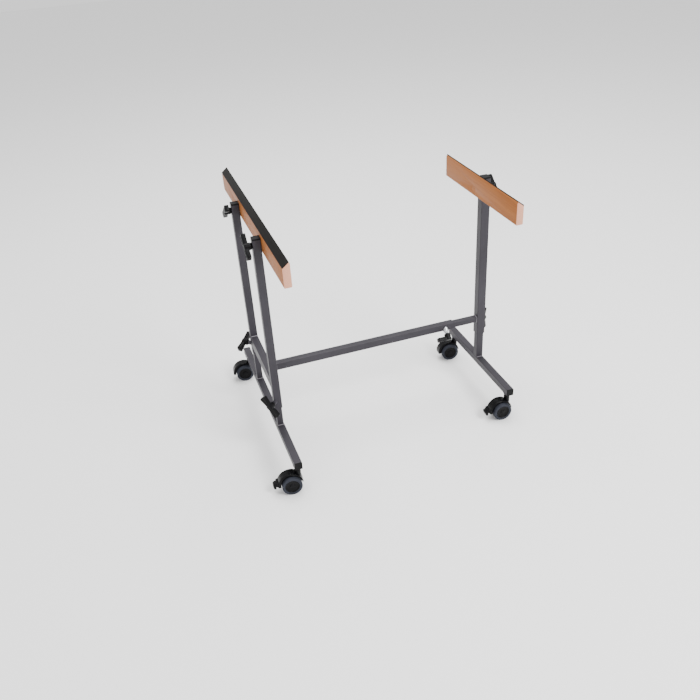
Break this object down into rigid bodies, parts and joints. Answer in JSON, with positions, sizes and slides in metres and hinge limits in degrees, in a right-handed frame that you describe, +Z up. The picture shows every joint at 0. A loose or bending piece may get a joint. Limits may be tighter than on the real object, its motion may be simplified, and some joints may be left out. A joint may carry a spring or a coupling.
{
  "type": "sewing table underframe",
  "caption": "Rolling steel underframe for a sewing table, with height and width that telescope, wooden top rails and four castors, two of them braked.",
  "frame": {"origin": "on the floor, under the middle of the object: the middle of the long side frame in Y and of the overall width in X", "axes": "+X from the long side frame to the short one along the cross beam, +Y away from the front along the feet, +Z up"},
  "size_m": [0.9098, 0.806, 0.82],
  "materials": {
    "dark_grey_steel": "fine-textured satin powder coat, anthracite",
    "beech": "clear-lacquered beech",
    "black_strip": "matt black strip",
    "cap_plastic": "matt black",
    "knob_plastic": "fine-grained black",
    "castor_plastic": "smooth black",
    "grey_tyre": "soft grey tread",
    "chrome": "bright chrome plate",
    "zinc_steel": "zinc plated"
  },
  "bodies": {
    "left_base": {"left_foot": "dark_grey_steel", "left_lower_tubes": "dark_grey_steel", "left_foot_caps": "cap_plastic", "left_castor_stems": "chrome"},
    "left_carriage": {"front_left_post": "dark_grey_steel", "rear_left_post": "dark_grey_steel", "left_post_caps": "cap_plastic", "side_bar": "dark_grey_steel", "beam_outer": "dark_grey_steel", "beam_clamp_nut": "zinc_steel", "left_rail": "beech", "left_rail_strip": "black_strip", "left_clamp_nuts": "zinc_steel", "left_rail_plugs": "beech"},
    "right_carriage": {"beam_inner": "dark_grey_steel", "right_post": "dark_grey_steel", "right_post_cap": "cap_plastic"},
    "right_rail_group": {"right_rail": "beech", "right_rail_strip": "black_strip", "right_clamp_nut": "zinc_steel", "right_rail_plug": "beech"},
    "right_base": {"right_foot": "dark_grey_steel", "right_lower_tube": "dark_grey_steel", "right_foot_caps": "cap_plastic", "right_castor_stems": "chrome"},
    "beam_clamp": {"beam_knob": "knob_plastic", "beam_stud": "zinc_steel"},
    "front_height_clamp": {"front_height_knob": "knob_plastic", "front_height_stud": "zinc_steel"},
    "rear_height_clamp": {"rear_height_knob": "knob_plastic", "rear_height_stud": "zinc_steel"},
    "right_height_clamp": {"right_height_knob": "knob_plastic", "right_height_stud": "zinc_steel"},
    "front_rail_clamp": {"front_rail_knob": "knob_plastic", "front_rail_stud": "zinc_steel"},
    "rear_rail_clamp": {"rear_rail_knob": "knob_plastic", "rear_rail_stud": "zinc_steel"},
    "right_rail_clamp": {"right_rail_knob": "knob_plastic", "right_rail_stud": "zinc_steel"},
    "front_left_castor": {"front_left_castor_body": "castor_plastic"},
    "front_left_wheels": {"front_left_axle": "chrome", "front_left_hubs": "castor_plastic", "front_left_tyres": "grey_tyre"},
    "front_left_brake": {"front_left_pedal": "castor_plastic"},
    "rear_left_castor": {"rear_left_castor_body": "castor_plastic"},
    "rear_left_wheels": {"rear_left_axle": "chrome", "rear_left_hubs": "castor_plastic", "rear_left_tyres": "grey_tyre"},
    "front_right_castor": {"front_right_castor_body": "castor_plastic"},
    "front_right_wheels": {"front_right_axle": "chrome", "front_right_hubs": "castor_plastic", "front_right_tyres": "grey_tyre"},
    "front_right_brake": {"front_right_pedal": "castor_plastic"},
    "rear_right_castor": {"rear_right_castor_body": "castor_plastic"},
    "rear_right_wheels": {"rear_right_axle": "chrome", "rear_right_hubs": "castor_plastic", "rear_right_tyres": "grey_tyre"}
  },
  "joints": [
    {"name": "height", "type": "slide", "parent": "left_base", "child": "left_carriage", "axis": [0, 0, 1], "range_m": [-0.05, 0.25]},
    {"name": "width", "type": "slide", "parent": "left_carriage", "child": "right_carriage", "axis": [1, 0, 0], "range_m": [-0.07, 0.3]},
    {"name": "right_height", "type": "slide", "parent": "right_carriage", "child": "right_base", "axis": [0, 0, 1], "range_m": [-0.25, 0.05]},
    {"name": "right_rail_tilt", "type": "hinge", "parent": "right_carriage", "child": "right_rail_group", "pos_m": [0.3965, -0.042, 0.765], "axis": [1, 0, 0], "range_deg": [-20, 20]},
    {"name": "front_height_screw", "type": "hinge", "parent": "left_carriage", "child": "front_height_clamp", "pos_m": [-0.3685, -0.147, 0.217], "axis": [-0.7071, -0.7071, 0], "range_deg": [0, 720]},
    {"name": "rear_height_screw", "type": "hinge", "parent": "left_carriage", "child": "rear_height_clamp", "pos_m": [-0.3685, 0.147, 0.263], "axis": [-0.7071, 0.7071, 0], "range_deg": [0, 720]},
    {"name": "right_height_screw", "type": "hinge", "parent": "right_carriage", "child": "right_height_clamp", "pos_m": [0.4115, -0.042, 0.254], "axis": [0.7071, 0.7071, 0], "range_deg": [0, 720]},
    {"name": "front_rail_screw", "type": "hinge", "parent": "left_carriage", "child": "front_rail_clamp", "pos_m": [-0.3685, -0.147, 0.765], "axis": [-1, 0, 0], "range_deg": [0, 720]},
    {"name": "rear_rail_screw", "type": "hinge", "parent": "left_carriage", "child": "rear_rail_clamp", "pos_m": [-0.3685, 0.147, 0.765], "axis": [-1, 0, 0], "range_deg": [0, 720]},
    {"name": "right_rail_screw", "type": "hinge", "parent": "right_carriage", "child": "right_rail_clamp", "pos_m": [0.4115, -0.042, 0.765], "axis": [1, 0, 0], "range_deg": [0, 720]},
    {"name": "beam_screw", "type": "hinge", "parent": "left_carriage", "child": "beam_clamp", "pos_m": [0.275, -0.042, 0.278], "axis": [0, -0.7071, -0.7071], "range_deg": [0, 720]},
    {"name": "front_left_swivel", "type": "hinge", "parent": "left_base", "child": "front_left_castor", "pos_m": [-0.3685, -0.343, 0.082], "axis": [0, 0, 1], "continuous": true},
    {"name": "front_left_roll", "type": "hinge", "parent": "front_left_castor", "child": "front_left_wheels", "pos_m": [-0.39237, -0.34049, 0.0325], "axis": [-0.1045, -0.9945, 0], "continuous": true},
    {"name": "front_left_brake_pedal", "type": "hinge", "parent": "front_left_castor", "child": "front_left_brake", "pos_m": [-0.4357, -0.33594, 0.03862], "axis": [0.1045, 0.9945, 0], "range_deg": [0, 25]},
    {"name": "rear_left_swivel", "type": "hinge", "parent": "left_base", "child": "rear_left_castor", "pos_m": [-0.3685, 0.343, 0.082], "axis": [0, 0, 1], "continuous": true},
    {"name": "rear_left_roll", "type": "hinge", "parent": "rear_left_castor", "child": "rear_left_wheels", "pos_m": [-0.39241, 0.34509, 0.0325], "axis": [-0.0872, -0.9962, 0], "continuous": true},
    {"name": "front_right_swivel", "type": "hinge", "parent": "right_base", "child": "front_right_castor", "pos_m": [0.4115, -0.261, 0.082], "axis": [0, 0, 1], "continuous": true},
    {"name": "front_right_roll", "type": "hinge", "parent": "front_right_castor", "child": "front_right_wheels", "pos_m": [0.3875, -0.26058, 0.0325], "axis": [-0.0175, -0.9998, 0], "continuous": true},
    {"name": "front_right_brake_pedal", "type": "hinge", "parent": "front_right_castor", "child": "front_right_brake", "pos_m": [0.34394, -0.25982, 0.03862], "axis": [0.0175, 0.9998, 0], "range_deg": [0, 25]},
    {"name": "rear_right_swivel", "type": "hinge", "parent": "right_base", "child": "rear_right_castor", "pos_m": [0.4115, 0.155, 0.082], "axis": [0, 0, 1], "continuous": true},
    {"name": "rear_right_roll", "type": "hinge", "parent": "rear_right_castor", "child": "rear_right_wheels", "pos_m": [0.38768, 0.15793, 0.0325], "axis": [-0.1219, -0.9925, 0], "continuous": true}
  ],
  "couplings": [
    {"joint": "right_height", "follows": "height", "ratio": -1}
  ]
}
